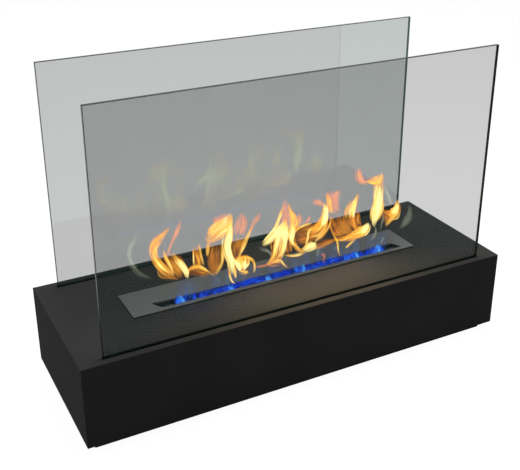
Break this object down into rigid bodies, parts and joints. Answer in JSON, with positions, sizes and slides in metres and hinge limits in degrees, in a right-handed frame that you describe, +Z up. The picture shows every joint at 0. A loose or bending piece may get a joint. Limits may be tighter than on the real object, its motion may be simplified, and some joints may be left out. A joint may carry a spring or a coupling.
{
  "type": "bioethanol fireplace",
  "caption": "Low black steel box on a recessed plinth, with a long slotted stainless burner in its top between two upright clear glass panes.",
  "frame": {"origin": "on the floor, under the middle of the casing", "axes": "+X along the length to the right of someone facing the front, +Y to the rear, +Z up; the front faces -Y"},
  "size_m": [1, 0.35, 0.7],
  "materials": {
    "powder_coat": "matt black powder coat, fine texture",
    "pane_glass": "clear tempered, ground dark edges",
    "burner_stainless": "brushed along its length",
    "galvanised": "hot-dip zinc, dull",
    "zinc_plate": "bright zinc plate",
    "foot_rubber": "matt",
    "seal_rubber": "matt silicone",
    "gasket_fibre": "woven glass fibre, dark",
    "wool": "ceramic fibre, fluffy"
  },
  "bodies": {
    "base": {"casing": "powder_coat", "top_plate": "powder_coat", "foot_frame": "powder_coat", "bottom_plate": "galvanised", "plinth": "powder_coat", "foot_pad_front_left": "foot_rubber", "foot_pad_front_right": "foot_rubber", "foot_pad_rear_left": "foot_rubber", "foot_pad_rear_right": "foot_rubber", "bottom_screw_1": "zinc_plate", "bottom_screw_2": "zinc_plate", "bottom_screw_3": "zinc_plate", "bottom_screw_4": "zinc_plate", "bottom_screw_5": "zinc_plate", "bottom_screw_6": "zinc_plate", "bottom_screw_7": "zinc_plate", "bottom_screw_8": "zinc_plate", "cross_member_left": "galvanised", "cross_member_right": "galvanised", "front_glass_channel": "galvanised", "rear_glass_channel": "galvanised", "front_glass_seal": "seal_rubber", "rear_glass_seal": "seal_rubber", "heat_shield": "galvanised", "shield_stud_1": "zinc_plate", "shield_stud_2": "zinc_plate", "shield_stud_3": "zinc_plate", "shield_stud_4": "zinc_plate", "shield_stud_5": "zinc_plate", "shield_stud_6": "zinc_plate", "shield_nut_1": "zinc_plate", "shield_nut_2": "zinc_plate", "shield_nut_3": "zinc_plate", "shield_nut_4": "zinc_plate", "shield_nut_5": "zinc_plate", "shield_nut_6": "zinc_plate"},
    "burner": {"burner_gasket": "gasket_fibre", "burner_plate": "burner_stainless", "fuel_tank": "burner_stainless", "ceramic_wool": "wool", "wool_cover": "burner_stainless", "damper_rail_left": "burner_stainless", "damper_rail_right": "burner_stainless"},
    "damper": {"damper": "burner_stainless"},
    "front_pane": {"front_glass": "pane_glass"},
    "rear_pane": {"rear_glass": "pane_glass"}
  },
  "joints": [
    {"name": "damper_slide", "type": "slide", "parent": "burner", "child": "damper", "axis": [0, -1, 0], "range_m": [0, 0.0237]},
    {"name": "burner_lift", "type": "slide", "parent": "base", "child": "burner", "axis": [0, 0, 1], "range_m": [0, 0.09]},
    {"name": "front_glass_lift", "type": "slide", "parent": "base", "child": "front_pane", "axis": [0, 0, 1], "range_m": [0, 0.07]},
    {"name": "rear_glass_lift", "type": "slide", "parent": "base", "child": "rear_pane", "axis": [0, 0, 1], "range_m": [0, 0.07]}
  ]
}
